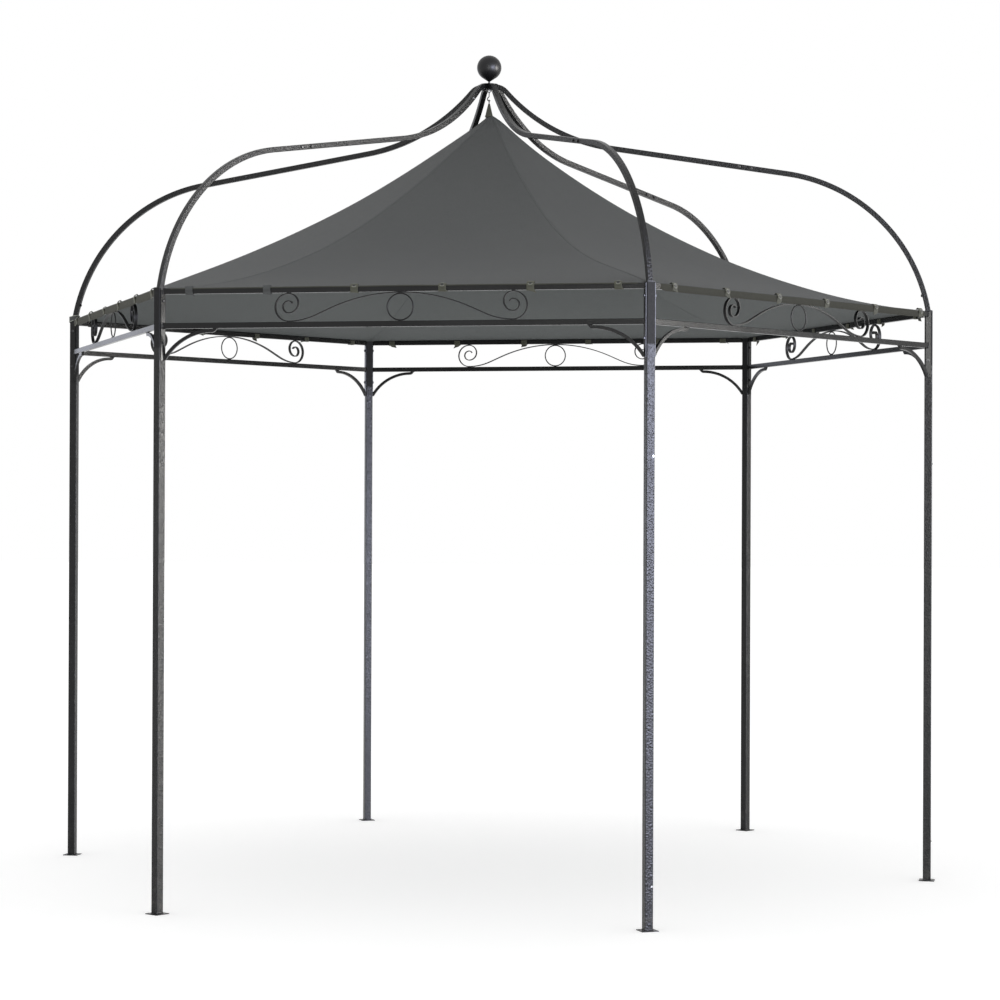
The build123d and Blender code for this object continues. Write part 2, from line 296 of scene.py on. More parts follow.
def powderPaint(name, spec):
    # baked powder paint: orange peel, small dimples, light flecks that are partly the paint's own and partly
    # painted glints, dust in the lower part
    material, graph = newMaterial(name)
    where = graph.node("ShaderNodeTexCoord", output="Object")
    cells = {"Vector": where, "Scale": spec["dimples"], "Smoothness": 0.6}
    dimples = graph.node("ShaderNodeTexVoronoi", {"feature": "SMOOTH_F1"}, cells)
    peel = graph.noise(where, spec["peel"], 3.0, 0.55)
    patches = graph.noise(where, paintWear["patches"], 4.0, 0.6)
    flecks = graph.noise(where, spec["flecks"], 2.0, 0.7).fade(0.56, 0.72)
    height = dimples * spec["hammer"] + peel * (1 - spec["hammer"])
    base = graph.mix(patches.fade(0.35, 0.65), spec["dark"], spec["base"])
    # lighter flecks in the colour: partly the hammered paint's own flecks, partly painted glints standing in
    # for the speckled highlights on lit faces
    base = graph.mix(flecks * spec["fleckAndPaintedGlint"], base, spec["light"])
    tall = graph.node("ShaderNodeSeparateXYZ", {}, {0: where}).other("Z")
    grains = graph.noise(where, paintWear["dustGrain"], 4.0, 0.6).fade(0.45, 0.75)
    dust = (1 - tall.fade(0.0, paintWear["dustHeight"])) * grains * paintWear["dustMost"]
    base = graph.mix(dust, base, paintWear["dust"])
    uneven = (peel - 0.5) * paintWear["peelGloss"] + (patches - 0.5) * paintWear["patchGloss"]
    roughness = spec["roughness"] + uneven + dust * paintWear["dustGloss"]
    if "flatAbove" in spec:
        # smooth, flatter paint where the side frames' plates bolt on
        flat = tall.fade(spec["flatAbove"], spec["flatAbove"] + paintWear["flatFade"])
        height = height * (1 - flat * paintWear["flatHammer"])
        roughness = roughness + flat * spec["flatness"]
    graph.finish(
        {
            "Base Color": base,
            "Roughness": roughness,
            "Specular IOR Level": spec["specular"],
            "Normal": graph.bump(height, spec["depth"], spec["strength"]),
        }
    )
    return material


zincWear = {"clouds": 90.0, "cloudGloss": 0.3, "scratches": (900, 160, 900), "scratchGloss": 0.15}


def zincPlate(name, spec):
    material, graph = newMaterial(name)
    where = graph.node("ShaderNodeTexCoord", output="Object")
    cloud = graph.noise(where, zincWear["clouds"], 4.0, 0.6)
    scratches = graph.noise(graph.stretched(where, zincWear["scratches"]), 1.0, 2.0)
    uneven = (cloud - 0.5) * zincWear["cloudGloss"] + (scratches - 0.5) * zincWear["scratchGloss"]
    graph.finish(
        {
            "Base Color": graph.mix(cloud.fade(0.35, 0.7), spec["base"], spec["stain"]),
            "Metallic": 1.0,
            "Roughness": spec["roughness"] + uneven,
            "Normal": graph.bump(scratches, 0.00004),
        }
    )
    return material


plasticGrain = {"grain": 1600.0, "grainGloss": 0.2, "patches": 30.0}


def mouldedPlastic(name, spec):
    material, graph = newMaterial(name)
    where = graph.node("ShaderNodeTexCoord", output="Object")
    grain = graph.noise(where, plasticGrain["grain"], 2.0)
    patches = graph.noise(where, plasticGrain["patches"], 3.0)
    graph.finish(
        {
            "Base Color": graph.mix(patches, spec["base"], spec["worn"]),
            "Roughness": spec["roughness"] + (grain - 0.5) * plasticGrain["grainGloss"],
            "Normal": graph.bump(grain, 0.00005),
        }
    )
    return material


# what all the woven cloths share: scales across and down the cloth, per metre, and their strengths
clothGrain = {
    "warp": (900, 25, 1),
    "weft": (25, 900, 1),
    "weaveShade": 0.18,
    "clouds": 2.2,
    "creases": (7, 2.4, 1),
    "roughness": 0.82,
    "cloudGloss": 0.12,
    "specular": 0.05,
    "sheenRoughness": 0.5,
    "relief": 0.22,
    "strength": 0.8,
}


def wovenCloth(name, spec):
    # plain weave on the piece's own map, in metres, with slubs along both threads
    material, graph = newMaterial(name)
    place = graph.node("ShaderNodeUVMap", {"uv_map": "cloth"})
    across = graph.node("ShaderNodeSeparateXYZ", {}, {0: place})
    down = across.other("Y")
    turns = 2 * pi / spec["thread"]
    weave = (across * turns).sine() * (down * turns).sine()
    warpSlubs = graph.noise(graph.stretched(place, clothGrain["warp"]), 1.0, 2.0)
    weftSlubs = graph.noise(graph.stretched(place, clothGrain["weft"]), 1.0, 2.0)
    clouds = graph.noise(place, clothGrain["clouds"], 3.0, 0.55)
    creases = graph.noise(graph.stretched(place, clothGrain["creases"]), 1.0, 3.0, 0.5)
    slubs = (warpSlubs - 0.5) * spec["slubs"] + (weftSlubs - 0.5) * spec["slubs"]
    shade = 0.5 + slubs + weave * clothGrain["weaveShade"]
    base = graph.mix(shade, spec["dark"], spec["light"])
    base = graph.mix(clouds.fade(0.3, 0.7) * spec["clouds"], base, spec["faded"])
    fine = weave * 0.5 + warpSlubs * 0.5 + weftSlubs * 0.5
    wrinkled = graph.bump(creases, spec["creases"])
    relief = spec["thread"] * clothGrain["relief"]
    graph.finish(
        {
            "Base Color": base,
            "Roughness": clothGrain["roughness"] + (clouds - 0.5) * clothGrain["cloudGloss"],
            "Specular IOR Level": clothGrain["specular"],
            "Sheen Weight": spec["sheen"],
            "Sheen Roughness": clothGrain["sheenRoughness"],
            "Normal": graph.bump(fine, relief, clothGrain["strength"], wrinkled),
        }
    )
    return material


webbingGrain = {
    "twill": 0.8,
    "ribShade": 0.2,
    "twillShade": 0.15,
    "soil": 60.0,
    "soilMost": 0.5,
    "roughness": 0.78,
    "soilGloss": 0.2,
    "specular": 0.25,
    "sheen": 0.15,
    "sheenRoughness": 0.5,
    "relief": 0.00025,
    "strength": 0.8,
}


def webbing(name, spec):
    # narrow strap: ribs across it, a fine twill over them, and soiled patches
    material, graph = newMaterial(name)
    place = graph.node("ShaderNodeUVMap", {"uv_map": "cloth"})
    across = graph.node("ShaderNodeSeparateXYZ", {}, {0: place})
    along = across.other("Y")
    ribs = (along * (2 * pi / spec["rib"])).sine()
    twill = ((across + along) * (2 * pi / (spec["rib"] * webbingGrain["twill"]))).sine()
    soil = graph.noise(place, webbingGrain["soil"], 4.0, 0.6)
    shade = 0.5 + ribs * webbingGrain["ribShade"] + twill * webbingGrain["twillShade"]
    base = graph.mix(shade, spec["dark"], spec["light"])
    base = graph.mix(soil.fade(0.45, 0.8) * webbingGrain["soilMost"], base, spec["soiled"])
    height = ribs * 0.6 + twill * 0.4 + soil
    graph.finish(
        {
            "Base Color": base,
            "Roughness": webbingGrain["roughness"] + (soil - 0.5) * webbingGrain["soilGloss"],
            "Specular IOR Level": webbingGrain["specular"],
            "Sheen Weight": webbingGrain["sheen"],
            "Sheen Roughness": webbingGrain["sheenRoughness"],
            "Normal": graph.bump(height, webbingGrain["relief"], webbingGrain["strength"]),
        }
    )
    return material


threadGrain = {"twist": 2500.0, "roughness": 0.7, "twistGloss": 0.2, "relief": 0.0001}


def threadFinish(name, spec):
    material, graph = newMaterial(name)
    where = graph.node("ShaderNodeTexCoord", output="Object")
    twist = graph.noise(where, threadGrain["twist"], 1.0)
    graph.finish(
        {
            "Base Color": graph.mix(twist, spec["dark"], spec["light"]),
            "Roughness": threadGrain["roughness"] + (twist - 0.5) * threadGrain["twistGloss"],
            "Normal": graph.bump(twist, threadGrain["relief"]),
        }
    )
    return material


postPaint = powderPaint(
    "hammeredPostPaint",
    {
        "dark": colour(0.0045, 0.0047, 0.0052),
        "base": colour(0.0075, 0.0077, 0.0086),
        "light": colour(0.055, 0.056, 0.061),
        "dimples": 175.0,
        "peel": 200.0,
        "flecks": 170.0,
        "fleckAndPaintedGlint": 0.36,
        "hammer": 0.7,
        "roughness": 0.31,
        "specular": 0.24,
        "depth": 0.0017,
        "strength": 1.0,
        "flatAbove": 1.998,
        "flatness": 0.42,
    },
)
tubePaint = powderPaint(
    "roofTubePaint",
    {
        "dark": colour(0.0065, 0.0067, 0.0072),
        "base": colour(0.0095, 0.0097, 0.0105),
        "light": colour(0.040, 0.041, 0.044),
        "dimples": 150.0,
        "peel": 380.0,
        "flecks": 180.0,
        "fleckAndPaintedGlint": 0.25,
        "hammer": 0.6,
        "roughness": 0.33,
        "specular": 0.24,
        "depth": 0.0026,
        "strength": 0.9,
    },
)
railPaint = powderPaint(
    "railPaint",
    {
        "dark": colour(0.0065, 0.0067, 0.0070),
        "base": colour(0.0090, 0.0092, 0.0095),
        "light": colour(0.030, 0.031, 0.033),
        "dimples": 600.0,
        "peel": 700.0,
        "flecks": 420.0,
        "fleckAndPaintedGlint": 0.15,
        "hammer": 0.2,
        "roughness": 0.21,
        "specular": 0.24,
        "depth": 0.0003,
        "strength": 0.5,
    },
)
scrollPaint = powderPaint(
    "scrollPaint",
    {
        "dark": colour(0.0060, 0.0061, 0.0063),
        "base": colour(0.0085, 0.0086, 0.0089),
        "light": colour(0.030, 0.030, 0.031),
        "dimples": 600.0,
        "peel": 600.0,
        "flecks": 420.0,
        "fleckAndPaintedGlint": 0.2,
        "hammer": 0.3,
        "roughness": 0.48,
        "specular": 0.20,
        "depth": 0.0004,
        "strength": 0.5,
    },
)
ballPaint = powderPaint(
    "ballSatinPaint",
    {
        "dark": colour(0.0075, 0.0075, 0.0084),
        "base": colour(0.0105, 0.0107, 0.0115),
        "light": colour(0.030, 0.030, 0.033),
        "dimples": 500.0,
        "peel": 420.0,
        "flecks": 360.0,
        "fleckAndPaintedGlint": 0.2,
        "hammer": 0.3,
        "roughness": 0.38,
        "specular": 0.28,
        "depth": 0.0004,
        "strength": 0.5,
    },
)
collarPlasticAndHoleShade = mouldedPlastic(
    "collarPlasticAndHoleShade",
    {"base": colour(0.006, 0.006, 0.007), "worn": colour(0.012, 0.012, 0.013), "roughness": 0.55},
)
boltZinc = zincPlate(
    "boltZinc",
    {"base": colour(0.46, 0.47, 0.48), "stain": colour(0.34, 0.33, 0.31), "roughness": 0.34},
)
darkZinc = zincPlate(
    "darkenedZinc",
    {"base": colour(0.050, 0.050, 0.051), "stain": colour(0.028, 0.028, 0.029), "roughness": 0.45},
)
blackBolt = zincPlate(
    "blackenedBolt",
    {"base": colour(0.060, 0.060, 0.062), "stain": colour(0.022, 0.022, 0.023), "roughness": 0.30},
)
roofCloth = {"thread": 0.0012, "slubs": 0.7, "clouds": 0.35, "creases": 0.004, "sheen": 0.05}
canopyWeave = wovenCloth(
    "canopyWeave",
    {
        **roofCloth,
        "dark": colour(0.0685, 0.0715, 0.0725),
        "light": colour(0.1035, 0.1075, 0.1085),
        "faded": colour(0.094, 0.098, 0.098),
    },
)
# painted light: the roof's inside is the same weave made lighter, standing in for light that comes through
# the thin cloth and up off the floor
canopyUndersidePaintedLight = wovenCloth(
    "canopyUndersidePaintedLight",
    {
        **roofCloth,
        "dark": colour(0.115, 0.124, 0.123),
        "light": colour(0.164, 0.175, 0.174),
        "faded": colour(0.150, 0.161, 0.159),
    },
)
hemWeave = wovenCloth(
    "hemWeave",
    {
        **roofCloth,
        "dark": colour(0.050, 0.050, 0.042),
        "light": colour(0.075, 0.075, 0.063),
        "faded": colour(0.068, 0.068, 0.057),
    },
)
peakWeave = wovenCloth(
    "peakWeave",
    {
        "dark": colour(0.070, 0.072, 0.058),
        "light": colour(0.110, 0.112, 0.092),
        "faded": colour(0.115, 0.115, 0.095),
        "thread": 0.0010,
        "slubs": 0.6,
        "clouds": 0.3,
        "creases": 0.001,
        "sheen": 0.05,
    },
)
oliveWebbing = webbing(
    "oliveWebbing",
    {
        "dark": colour(0.060, 0.062, 0.042),
        "light": colour(0.108, 0.110, 0.080),
        "soiled": colour(0.080, 0.080, 0.062),
        "rib": 0.0016,
    },
)
paleWebbing = webbing(
    "paleWebbing",
    {
        "dark": colour(0.26, 0.27, 0.24),
        "light": colour(0.42, 0.43, 0.39),
        "soiled": colour(0.24, 0.24, 0.21),
        "rib": 0.0014,
    },
)
seamThread = threadFinish(
    "seamThread", {"dark": colour(0.085, 0.087, 0.087), "light": colour(0.125, 0.128, 0.127)}
)
eyeletRing = mouldedPlastic(
    "eyeletRing",
    {"base": colour(0.22, 0.23, 0.19), "worn": colour(0.16, 0.16, 0.135), "roughness": 0.4},
)
print("finishes made")


# Every part of the frame keeps its place and gets its finish
nodeFinishes = {
    "post_": postPaint,
    "foot_plates": postPaint,
    "side_frame": railPaint,
    "scrollwork": scrollPaint,
    "outer_arch": tubePaint,
    "inner_arm": tubePaint,
    "crown_hub": tubePaint,
    "ball_finial": ballPaint,
    "post_caps": collarPlasticAndHoleShade,
    "canopy_hook": darkZinc,
    "canopy_ring": darkZinc,
    "canopy_panel": canopyWeave,
    "canopy_peak_cap": peakWeave,
    "canopy_tabs": oliveWebbing,
}


def finishFor(node):
    matches = [start for start in nodeFinishes if node.startswith(start)]
    return nodeFinishes[max(matches, key=len)]


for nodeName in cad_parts:
    nodeMesh = bpy.data.objects[nodeName].data
    nodeMesh.materials.clear()
    nodeMesh.materials.append(finishFor(nodeName))
print("frame painted")


def meshPiece(name, points, faces, edges=()):
    mesh = bpy.data.meshes.new(name)
    mesh.from_pydata([tuple(point) for point in points], list(edges), faces)
    mesh.polygons.foreach_set("use_smooth", [True] * len(mesh.polygons))
    piece = bpy.data.objects.new(name, mesh)
    scene.collection.objects.link(piece)
    return piece


def settle(piece, finish):
    # turns the live modifiers into a plain mesh, then fixes the piece to the frame; a list of
    # finishes is already on the piece
    bpy.context.view_layer.update()
    ready = piece.evaluated_get(bpy.context.evaluated_depsgraph_get())
    plain = bpy.data.meshes.new_from_object(ready)
    piece.modifiers.clear()
    piece.data = plain
    plain.name = piece.name
    if not isinstance(finish, list):
        plain.materials.clear()
        plain.materials.append(finish)
    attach(piece, "root")


def givenMap(piece, places):
    # one map point for each vertex, in metres, so that a weave keeps its real size
    layer = piece.data.uv_layers.new(name="cloth")
    corners = [0] * len(piece.data.loops)
    piece.data.loops.foreach_get("vertex_index", corners)
    flat = []
    for corner in corners:
        flat.extend(places[corner])
    layer.data.foreach_set("uv", flat)


# Geometry Nodes: one helper makes a tree with named inputs, another runs it on a piece
def newTree(name, inputs):
    tree = bpy.data.node_groups.new(name, "GeometryNodeTree")
    tree.interface.new_socket("Geometry", in_out="INPUT", socket_type="NodeSocketGeometry")
    tree.interface.new_socket("Geometry", in_out="OUTPUT", socket_type="NodeSocketGeometry")
    for label, (kind, value) in inputs.items():
        made = tree.interface.new_socket(label, in_out="INPUT", socket_type=kind)
        if value is not None:
            made.default_value = value
    return tree, Graph(tree)


def runTree(piece, tree, values):
    modifier = piece.modifiers.new(tree.name, "NODES")
    modifier.node_group = tree
    for item in tree.interface.items_tree:
        if item.item_type == "SOCKET" and item.in_out == "INPUT" and item.name in values:
            modifier[item.identifier] = values[item.name]


def treeEnd(graph, geometry, given):
    whole = graph.node("GeometryNodeRealizeInstances", {}, {"Geometry": geometry})
    finish = given.other("Material")
    whole = graph.node("GeometryNodeSetMaterial", {}, {"Geometry": whole, "Material": finish})
    graph.node("NodeGroupOutput", {}, {"Geometry": whole})


def moved(graph, shape, height):
    lift = graph.node("ShaderNodeCombineXYZ", {}, {"Z": height})
    return graph.node("GeometryNodeTransform", {}, {"Geometry": shape, "Translation": lift})


def between(graph, least, most, given):
    # a random number for each point, from the tree's seed
    values = {2: least, 3: most, "Seed": given.other("Seed")}
    return graph.node("FunctionNodeRandomValue", {"data_type": "FLOAT"}, values, 1)


# a fastener's shape: most numbers are shares of its hexagon or its thread
fastenerShape = {
    "washerSides": 24,
    "straight": 0.8,
    "crownTop": 0.86,
    "threadSides": 16,
    "threadFoot": 0.9,
    "threadBody": 0.94,
    "threadTip": 0.7,
    "tipHeight": 0.0006,  # metres
    "mostRoll": 1.05,  # a sixth of a turn, in radians
}


def fastenerTree():
    # a hexagon head or nut on a washer, with a thread end where it has one
    shape = fastenerShape
    lengths = {
        "Washer Radius": ("NodeSocketFloat", 0.006),
        "Washer Height": ("NodeSocketFloat", 0.0012),
        "Hex Radius": ("NodeSocketFloat", 0.0058),
        "Hex Height": ("NodeSocketFloat", 0.004),
        "Thread Radius": ("NodeSocketFloat", 0.003),
        "Thread Height": ("NodeSocketFloat", 0.0),
        "Seed": ("NodeSocketInt", 1),
        "Material": ("NodeSocketMaterial", None),
    }
    tree, graph = newTree("fasteners", lengths)
    given = graph.node("NodeGroupInput")
    washer = given.other("Washer Height")
    hexagon = given.other("Hex Height")
    thread = given.other("Thread Height")
    hexRadius = given.other("Hex Radius")
    threadRadius = given.other("Thread Radius")

    def cylinder(sides, radius, depth):
        sizes = {"Vertices": sides, "Radius": radius, "Depth": depth}
        return graph.node("GeometryNodeMeshCylinder", {}, sizes)

    def cone(sides, top, bottom, depth):
        values = {"Vertices": sides, "Radius Top": top, "Radius Bottom": bottom, "Depth": depth}
        return graph.node("GeometryNodeMeshCone", {}, values)

    threadWide = threadRadius * shape["threadBody"]
    flat = cylinder(shape["washerSides"], given.other("Washer Radius"), washer)
    body = cylinder(6, hexRadius, hexagon * shape["straight"])
    crown = cone(6, hexRadius * shape["crownTop"], hexRadius, hexagon * (1 - shape["straight"]))
    stub = cylinder(shape["threadSides"], threadWide, thread)
    tip = cone(shape["threadSides"], threadRadius * shape["threadTip"], threadWide, shape["tipHeight"])
    threadFoot = washer + hexagon * shape["threadFoot"]
    parts = [
        moved(graph, flat, washer * 0.5),
        moved(graph, body, washer + hexagon * (shape["straight"] / 2)),
        moved(graph, crown, washer + hexagon * shape["straight"]),
        moved(graph, stub, threadFoot + thread * 0.5),
        moved(graph, tip, threadFoot + thread),
    ]
    whole = graph.node("GeometryNodeJoinGeometry", {}, {"Geometry": parts})
    aim = graph.node("GeometryNodeInputNamedAttribute", {"data_type": "FLOAT_VECTOR"}, {"Name": "aim"})
    turn = graph.node("FunctionNodeAlignRotationToVector", {"axis": "Z"}, {"Vector": aim})
    roll = between(graph, 0.0, shape["mostRoll"], given)
    rollTurn = graph.node("FunctionNodeAxisAngleToRotation", {}, {"Axis": (0, 0, 1), "Angle": roll})
    turn = graph.node("FunctionNodeRotateRotation", {"rotation_space": "LOCAL"}, {0: turn, 1: rollTurn})
    spots = {"Points": given.other("Geometry"), "Instance": whole, "Rotation": turn}
    placed = graph.node("GeometryNodeInstanceOnPoints", {}, spots)
    treeEnd(graph, placed, given)
    return tree


def beadTree():
    # short round beads along lines: stitches when long, weld when fat and overlapping
    lengths = {
        "Pitch": ("NodeSocketFloat", 0.005),
        "Bead Radius": ("NodeSocketFloat", 0.0005),
        "Bead Length": ("NodeSocketFloat", 0.004),
        "Unevenness": ("NodeSocketFloat", 0.1),
        "Seed": ("NodeSocketInt", 1),
        "Material": ("NodeSocketMaterial", None),
    }
    tree, graph = newTree("beads", lengths)
    given = graph.node("NodeGroupInput")
    lines = graph.node("GeometryNodeMeshToCurve", {}, {"Mesh": given.other("Geometry")})
    spacing = {"Curve": lines, "Length": given.other("Pitch")}
    points = graph.node("GeometryNodeCurveToPoints", {"mode": "LENGTH"}, spacing)
    turn = graph.node("FunctionNodeAlignRotationToVector", {"axis": "Z"}, {"Vector": points.other("Tangent")})
    bead = graph.node("GeometryNodeMeshUVSphere", {}, {"Segments": 7, "Rings": 4, "Radius": 1.0})
    bead = graph.node("GeometryNodeSetShadeSmooth", {}, {"Geometry": bead})
    uneven = given.other("Unevenness")
    size = between(graph, 1 - uneven, 1 + uneven, given)
    wide = given.other("Bead Radius") * size
    tall = given.other("Bead Length") * size * 0.5
    scale = graph.node("ShaderNodeCombineXYZ", {}, {"X": wide, "Y": wide, "Z": tall})
    spots = {"Points": points, "Instance": bead, "Rotation": turn, "Scale": scale}
    placed = graph.node("GeometryNodeInstanceOnPoints", {}, spots)
    treeEnd(graph, placed, given)
    return tree


def tapeTree():
    # a flat tape with round edges along a line
    lengths = {
        "Tape Width": ("NodeSocketFloat", 0.007),
        "Tape Thickness": ("NodeSocketFloat", 0.002),
        "Material": ("NodeSocketMaterial", None),
    }
    tree, graph = newTree("tapes", lengths)
    given = graph.node("NodeGroupInput")
    thickness = given.other("Tape Thickness")
    lines = graph.node("GeometryNodeMeshToCurve", {}, {"Mesh": given.other("Geometry")})
    lines = graph.node("GeometryNodeSetCurveNormal", {"mode": "Z_UP"}, {"Curve": lines})
    section = {"Width": thickness, "Height": given.other("Tape Width")}
    outline = graph.node("GeometryNodeCurvePrimitiveQuadrilateral", {}, section)
    rounding = {"Curve": outline, "Count": 3, "Radius": thickness * 0.45}
    outline = graph.node("GeometryNodeFilletCurve", {"mode": "POLY"}, rounding)
    sweep = {"Curve": lines, "Profile Curve": outline, "Fill Caps": True}
    tape = graph.node("GeometryNodeCurveToMesh", {}, sweep)
    tape = graph.node("GeometryNodeSetShadeSmooth", {}, {"Geometry": tape})
    treeEnd(graph, tape, given)
    return tree


fasteners = fastenerTree()
beads = beadTree()
tapes = tapeTree()


def linePiece(name, lines, closed=False):
    # a mesh of loose lines for a tree to follow
    points, edges = [], []
    for line in lines:
        first = len(points)
        points.extend(line)
        edges.extend((first + n, first + n + 1) for n in range(len(line) - 1))
        if closed:
            edges.append((len(points) - 1, first))
    return meshPiece(name, points, [], edges)


def placedFasteners(name, places, sizes, finish):
    piece = meshPiece(name, [point for point, aim in places], [])
    aims = piece.data.attributes.new("aim", "FLOAT_VECTOR", "POINT")
    flat = []
    for point, aim in places:
        flat.extend(aim)
    aims.data.foreach_set("vector", flat)
    runTree(piece, fasteners, {**sizes, "Material": finish})
    settle(piece, finish)


# Canopy: one sheet, hollow from each corner up to the peak. Sags are given along each seam, as a
# curve's three terms, for the corners at 0, 60 ... 300 degrees. A place down the roof is s, 0 at the
# peak and 1 at the eave. The lip's rows are out from the middle and up, and turn over the rail.
canopy = {
    "peakRadius": 0.0130,
    "peakHeight": 3.0150,
    "eaveRadius": 1.7405,
    "eaveHeight": 2.2140,
    "slant": 1.92,
    "sags": [
        (0.1553, -0.0042, 0.0071),
        (0.1520, -0.0060, -0.0050),
        (0.1400, -0.0100, -0.0050),
        (0.0844, -0.0442, -0.0151),
        (0.1703, 0.0028, -0.0075),
        (0.1615, -0.0230, -0.0613),
    ],
    "rings": 92,
    "ringCrowding": 1.15,
    "perSide": 44,
    "hipCrowding": 0.80,
    "hipPower": {"peak": 14, "gain": 260, "rate": 1.2},
    "lip": [
        (1.5110, 2.2135),
        (1.5165, 2.2131),
        (1.5220, 2.2130),
        (1.5250, 2.2127),
        (1.5260, 2.2120),
        (1.5263, 2.2112),
    ],
    "lipArch": {"rise": 0.0016, "end": 0.9},
    "lipMap": 0.004,
    "sideMap": 0.05,
    "cornerCut": 1.7310,
    "cornerStep": 0.0006,
    "cloth": 0.0010,
    "puckers": {"depth": 0.0022, "even": 0.45, "reach": 0.10, "free": 0.02},
    "gathers": {"height": 0.0014, "count": 18, "reach": 0.11, "free": 0.03},
    "ripples": {"height": 0.0012, "across": 7.0, "down": 9.0, "turn": 0.7},
    "crease": {"angle": 300, "radius": 0.064, "depth": 0.007, "width": 0.010, "length": 0.035},
    "lean": {"way": (0.980, 0.197, 0), "most": 0.011, "radius": 0.050},
}
# where the hem hangs over the rail: how far down, and how far the tabs pinch it up again
skirt = {
    "sides": {210: (0.0265, 0.0070), 330: (0.0222, 0.0012)},
    "rows": 4,
    "rowDrop": 0.0004,
    "out": 0.0004,
    "end": 0.86,
    "fade": 0.05,
}
tabReach = 0.034  # how far along the edge a tab pulls on the cloth
# where the tabs are along each side, from its left-hand post seen from outside
tabPlaces = {
    270: [0.111, 0.396, 0.712, 1.026, 1.337, 1.643],
    330: [0.123, 0.426, 0.739, 1.041, 1.364, 1.674],
    30: [0.104, 0.415, 0.706, 1.034, 1.343, 1.651],
    90: [0.108, 0.402, 0.722, 1.019, 1.331, 1.640],
    150: [0.115, 0.409, 0.716, 1.037, 1.348, 1.655],
    210: [0.120, 0.418, 0.730, 1.028, 1.352, 1.662],
}


def hipHeight(corner, s):
    c0, c1, c2 = canopy["sags"][corner % 6]
    q = 2 * s - 1
    straight = canopy["peakHeight"] + (canopy["eaveHeight"] - canopy["peakHeight"]) * s
    return straight - 4 * s * (1 - s) * (c0 + c1 * q + c2 * q * q)


def roundedHexagon(angle, power):
    # 1 on a hip of a sharp hexagon, less where the corner is rounded
    total = 0.0
    for side in sideAngles:
        total += max(cos(radians(angle - side)), 0.0) ** power
    return cos(radians(30)) / total ** (1 / power)


def sideOf(angle):
    return 60 * (int(angle // 60) % 6) + 30


def tabPuller(side, along):
    # how near this point is to a tab, 1 at the tab
    half = frameSizes["halfSide"]
    return sum(exp(-(((along - (place - half)) / tabReach) ** 2)) for place in tabPlaces[side])


def canopyPoint(angle, s):
    side = sideOf(angle)
    sector = side // 60
    share = (tan(radians(angle - side)) / tan(radians(30)) + 1) / 2
    share = min(max(share, 0.0), 1.0)
    hip = canopy["peakRadius"] + s * (canopy["eaveRadius"] - canopy["peakRadius"])
    sharp = canopy["hipPower"]
    radius = hip * roundedHexagon(angle, sharp["peak"] + sharp["gain"] * s ** sharp["rate"])
    height = (1 - share) * hipHeight(sector, s) + share * hipHeight(sector + 1, s)
    along = radius * sin(radians(angle - side))
    edge = (canopy["eaveRadius"] - hip) * cos(radians(30))
    # pulled down at the tabs, a little way in from the edge
    pucker = canopy["puckers"]
    near = exp(-((edge / pucker["reach"]) ** 2)) * (1 - exp(-((edge / pucker["free"]) ** 2)))
    height -= pucker["depth"] * (tabPuller(side, along) - pucker["even"]) * near
    # gathered round the peak
    gather = canopy["gathers"]
    near = exp(-((radius / gather["reach"]) ** 2)) * min(1, radius / gather["free"])
    height += gather["height"] * cos(radians(gather["count"] * angle)) * near
    # long soft ripples over each panel
    ripple = canopy["ripples"]
    wave = sin(ripple["across"] * along + side) * sin(ripple["down"] * edge + ripple["turn"] * sector)
    height += ripple["height"] * wave * sin(pi * s)
    # a short crease beside one hip, below the cap
    crease = canopy["crease"]
    here = direction(angle) * radius
    gap = here - direction(crease["angle"]) * crease["radius"]
    across = gap.dot(direction(crease["angle"])) / crease["width"]
    down = gap.dot(direction(crease["angle"] + 90)) / crease["length"]
    height -= crease["depth"] * exp(-(across**2)) * exp(-(down**2))
    # hung from its hook, the top leans a little to the right, most just below the cap
    lean = canopy["lean"]
    share = radius / lean["radius"]
    shift = Vector(lean["way"]) * (lean["most"] * share * exp(1 - share))
    return here + Vector((0, 0, height)) + shift


def lipRows():
    # out, up, and which row of the skirt it is: 0 for the lip itself
    rows = [(out, height, 0) for out, height in canopy["lip"]]
    out, height = canopy["lip"][-1]
    for row in range(1, skirt["rows"] + 1):
        rows.append((out + skirt["out"] * (row / skirt["rows"]), height - skirt["rowDrop"] * row, row))
    return rows


def lipPoint(angle, out, height, number, row):
    # number counts all rows outwards from 1, row only those of the skirt
    side = sideOf(angle)
    hip = 60 * round(angle / 60)
    cut = canopy["cornerCut"] + canopy["cornerStep"] * number
    radius = min(out / cos(radians(angle - side)), cut / cos(radians(angle - hip)))
    along = radius * sin(radians(angle - side))
    arch = canopy["lipArch"]
    pull = min(1.0, tabPuller(side, along))
    lift = arch["rise"] * (1 - pull) * (1 - abs(along) / arch["end"])
    if row > 0 and side in skirt["sides"]:
        drop, pinch = skirt["sides"][side]
        end = min(1.0, max(0.0, (skirt["end"] - abs(along)) / skirt["fade"]))
        lift -= (drop - pinch * pull) * end * row / skirt["rows"]
    return Vector((radius * cos(radians(angle)), radius * sin(radians(angle)), height + lift))


def sheetAngles():
    # closer together at the hips
    angles = []
    for sector in range(6):
        for n in range(canopy["perSide"]):
            x = n / canopy["perSide"]
            angles.append(60 * (sector + x - canopy["hipCrowding"] * sin(2 * pi * x) / (2 * pi)))
    return angles


def mapPlace(point, angle, down):
    # each side's panel has its own strip of the cloth map
    side = sideOf(angle)
    return (point.xy.length * sin(radians(angle - side)) + side * canopy["sideMap"], down)


